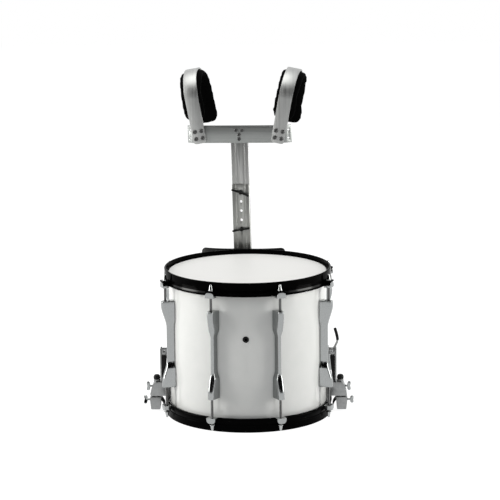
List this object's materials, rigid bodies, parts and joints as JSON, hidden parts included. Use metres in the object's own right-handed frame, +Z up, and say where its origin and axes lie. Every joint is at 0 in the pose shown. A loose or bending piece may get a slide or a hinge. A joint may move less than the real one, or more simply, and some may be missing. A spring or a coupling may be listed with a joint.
{
  "type": "marching snare drum",
  "caption": "Marching snare drum with white shell, black hoops, full-length lugs, a strainer on each side and a T-shaped shoulder carrier hooked to its back.",
  "frame": {"origin": "centre of the bounding box at the bottom, on the surface the drum stands on", "axes": "+Z up along the drum's axis, +Y towards the player, +X towards the throw-off lever"},
  "size_m": [0.481, 0.5686, 0.7557],
  "materials": {
    "shell_white": "white gloss lacquer",
    "head_film": "smooth translucent film",
    "black_hoop": "black gloss coat",
    "cast_metal": "satin casting",
    "bright_metal": "polished",
    "bar_metal": "brushed along its length",
    "black_plastic": "smooth",
    "black_plate": "black satin coat",
    "black_foam": "black cloth over foam",
    "snare_steel": "drawn wire"
  },
  "bodies": {
    "drum": {"shell": "shell_white", "vent_grommet": "black_plastic", "batter_head": "head_film", "snare_head": "head_film", "batter_hoop": "black_hoop", "snare_hoop": "black_hoop", "lug_1": "cast_metal", "lug_2": "cast_metal", "lug_3": "cast_metal", "lug_4": "cast_metal", "lug_5": "cast_metal", "lug_6": "cast_metal", "lug_7": "cast_metal", "lug_8": "cast_metal", "right_strainer": "cast_metal", "right_strainer_cover": "black_plastic", "left_strainer": "cast_metal", "left_strainer_cover": "black_plastic", "lever_pin": "bright_metal", "carrier_socket": "cast_metal"},
    "batter_rod_1": {"batter_rod_1": "bright_metal"},
    "batter_rod_2": {"batter_rod_2": "bright_metal"},
    "batter_rod_3": {"batter_rod_3": "bright_metal"},
    "batter_rod_4": {"batter_rod_4": "bright_metal"},
    "batter_rod_5": {"batter_rod_5": "bright_metal"},
    "batter_rod_6": {"batter_rod_6": "bright_metal"},
    "batter_rod_7": {"batter_rod_7": "bright_metal"},
    "batter_rod_8": {"batter_rod_8": "bright_metal"},
    "snare_rod_1": {"snare_rod_1": "bright_metal"},
    "snare_rod_2": {"snare_rod_2": "bright_metal"},
    "snare_rod_3": {"snare_rod_3": "bright_metal"},
    "snare_rod_4": {"snare_rod_4": "bright_metal"},
    "snare_rod_5": {"snare_rod_5": "bright_metal"},
    "snare_rod_6": {"snare_rod_6": "bright_metal"},
    "snare_rod_7": {"snare_rod_7": "bright_metal"},
    "snare_rod_8": {"snare_rod_8": "bright_metal"},
    "throw_off_lever": {"throw_off_lever": "bright_metal"},
    "snare_carriage": {"snares": "snare_steel", "right_carriage": "cast_metal", "left_carriage": "cast_metal"},
    "right_height_knob": {"right_height_knob": "black_plastic"},
    "right_lock_screw": {"right_lock_screw": "bright_metal"},
    "right_clamp_screw": {"right_clamp_screw": "bright_metal"},
    "left_height_knob": {"left_height_knob": "black_plastic"},
    "left_lock_screw": {"left_lock_screw": "bright_metal"},
    "left_clamp_screw": {"left_clamp_screw": "bright_metal"},
    "carrier_hook": {"carrier_hook": "bright_metal"},
    "carrier": {"belly_plate": "black_plate", "belly_pad": "black_foam", "lower_post": "bar_metal"},
    "upper_carrier": {"upper_post": "bar_metal", "crossbar": "bar_metal", "left_shoulder_band": "bar_metal", "right_shoulder_band": "bar_metal", "left_shoulder_pad": "black_foam", "right_shoulder_pad": "black_foam"},
    "lower_post_bolt": {"lower_post_bolt": "black_plastic"},
    "upper_post_bolt": {"upper_post_bolt": "black_plastic"}
  },
  "joints": [
    {"name": "batter_rod_1_turn", "type": "hinge", "parent": "drum", "child": "batter_rod_1", "pos_m": [0.07539, -0.27178, 0.29], "axis": [0, 0, 1], "continuous": true},
    {"name": "batter_rod_2_turn", "type": "hinge", "parent": "drum", "child": "batter_rod_2", "pos_m": [0.182, -0.16516, 0.29], "axis": [0, 0, 1], "continuous": true},
    {"name": "batter_rod_3_turn", "type": "hinge", "parent": "drum", "child": "batter_rod_3", "pos_m": [0.182, -0.01439, 0.29], "axis": [0, 0, 1], "continuous": true},
    {"name": "batter_rod_4_turn", "type": "hinge", "parent": "drum", "child": "batter_rod_4", "pos_m": [0.07539, 0.09223, 0.29], "axis": [0, 0, 1], "continuous": true},
    {"name": "batter_rod_5_turn", "type": "hinge", "parent": "drum", "child": "batter_rod_5", "pos_m": [-0.07539, 0.09223, 0.29], "axis": [0, 0, 1], "continuous": true},
    {"name": "batter_rod_6_turn", "type": "hinge", "parent": "drum", "child": "batter_rod_6", "pos_m": [-0.182, -0.01439, 0.29], "axis": [0, 0, 1], "continuous": true},
    {"name": "batter_rod_7_turn", "type": "hinge", "parent": "drum", "child": "batter_rod_7", "pos_m": [-0.182, -0.16516, 0.29], "axis": [0, 0, 1], "continuous": true},
    {"name": "batter_rod_8_turn", "type": "hinge", "parent": "drum", "child": "batter_rod_8", "pos_m": [-0.07539, -0.27178, 0.29], "axis": [0, 0, 1], "continuous": true},
    {"name": "snare_rod_1_turn", "type": "hinge", "parent": "drum", "child": "snare_rod_1", "pos_m": [0.07539, -0.27178, 0.05], "axis": [0, 0, 1], "continuous": true},
    {"name": "snare_rod_2_turn", "type": "hinge", "parent": "drum", "child": "snare_rod_2", "pos_m": [0.182, -0.16516, 0.05], "axis": [0, 0, 1], "continuous": true},
    {"name": "snare_rod_3_turn", "type": "hinge", "parent": "drum", "child": "snare_rod_3", "pos_m": [0.182, -0.01439, 0.05], "axis": [0, 0, 1], "continuous": true},
    {"name": "snare_rod_4_turn", "type": "hinge", "parent": "drum", "child": "snare_rod_4", "pos_m": [0.07539, 0.09223, 0.05], "axis": [0, 0, 1], "continuous": true},
    {"name": "snare_rod_5_turn", "type": "hinge", "parent": "drum", "child": "snare_rod_5", "pos_m": [-0.07539, 0.09223, 0.05], "axis": [0, 0, 1], "continuous": true},
    {"name": "snare_rod_6_turn", "type": "hinge", "parent": "drum", "child": "snare_rod_6", "pos_m": [-0.182, -0.01439, 0.05], "axis": [0, 0, 1], "continuous": true},
    {"name": "snare_rod_7_turn", "type": "hinge", "parent": "drum", "child": "snare_rod_7", "pos_m": [-0.182, -0.16516, 0.05], "axis": [0, 0, 1], "continuous": true},
    {"name": "snare_rod_8_turn", "type": "hinge", "parent": "drum", "child": "snare_rod_8", "pos_m": [-0.07539, -0.27178, 0.05], "axis": [0, 0, 1], "continuous": true},
    {"name": "throw_off", "type": "hinge", "parent": "drum", "child": "throw_off_lever", "pos_m": [0.1912, -0.08977, 0.14], "axis": [0, 1, 0], "range_deg": [0, 95]},
    {"name": "snare_release", "type": "slide", "parent": "drum", "child": "snare_carriage", "axis": [0, 0, -1], "range_m": [0, 0.004]},
    {"name": "right_height_knob_turn", "type": "hinge", "parent": "drum", "child": "right_height_knob", "pos_m": [0.2092, -0.08977, 0.077], "axis": [0, 0, 1], "continuous": true},
    {"name": "right_lock_screw_turn", "type": "hinge", "parent": "drum", "child": "right_lock_screw", "pos_m": [0.222, -0.08977, 0.057], "axis": [1, 0, 0], "continuous": true},
    {"name": "right_clamp_screw_turn", "type": "hinge", "parent": "snare_carriage", "child": "right_clamp_screw", "pos_m": [0.225, -0.08977, 0.025], "axis": [1, 0, 0], "continuous": true},
    {"name": "left_height_knob_turn", "type": "hinge", "parent": "drum", "child": "left_height_knob", "pos_m": [-0.2092, -0.08977, 0.077], "axis": [0, 0, 1], "continuous": true},
    {"name": "left_lock_screw_turn", "type": "hinge", "parent": "drum", "child": "left_lock_screw", "pos_m": [-0.222, -0.08977, 0.057], "axis": [1, 0, 0], "continuous": true},
    {"name": "left_clamp_screw_turn", "type": "hinge", "parent": "snare_carriage", "child": "left_clamp_screw", "pos_m": [-0.225, -0.08977, 0.025], "axis": [1, 0, 0], "continuous": true},
    {"name": "hook_lift", "type": "slide", "parent": "drum", "child": "carrier_hook", "axis": [0, 0, 1], "range_m": [0, 0.06]},
    {"name": "carrier_swivel", "type": "hinge", "parent": "carrier_hook", "child": "carrier", "pos_m": [-0.01973, 0.11534, 0.28099], "axis": [-0.0216, 0.0032, 0.9998], "range_deg": [-6, 23]},
    {"name": "post_height", "type": "slide", "parent": "carrier", "child": "upper_carrier", "axis": [-0.0216, 0.0032, 0.9998], "range_m": [0, 0.05]},
    {"name": "lower_post_bolt_turn", "type": "hinge", "parent": "carrier", "child": "lower_post_bolt", "pos_m": [-0.01927, 0.13296, 0.37797], "axis": [0.1461, 0.9893, 0], "continuous": true},
    {"name": "upper_post_bolt_turn", "type": "hinge", "parent": "carrier", "child": "upper_post_bolt", "pos_m": [-0.02117, 0.13324, 0.46595], "axis": [0.1461, 0.9893, 0], "continuous": true}
  ],
  "couplings": [
    {"joint": "throw_off", "follows": "snare_release", "rad_per_m": 414.5}
  ]
}
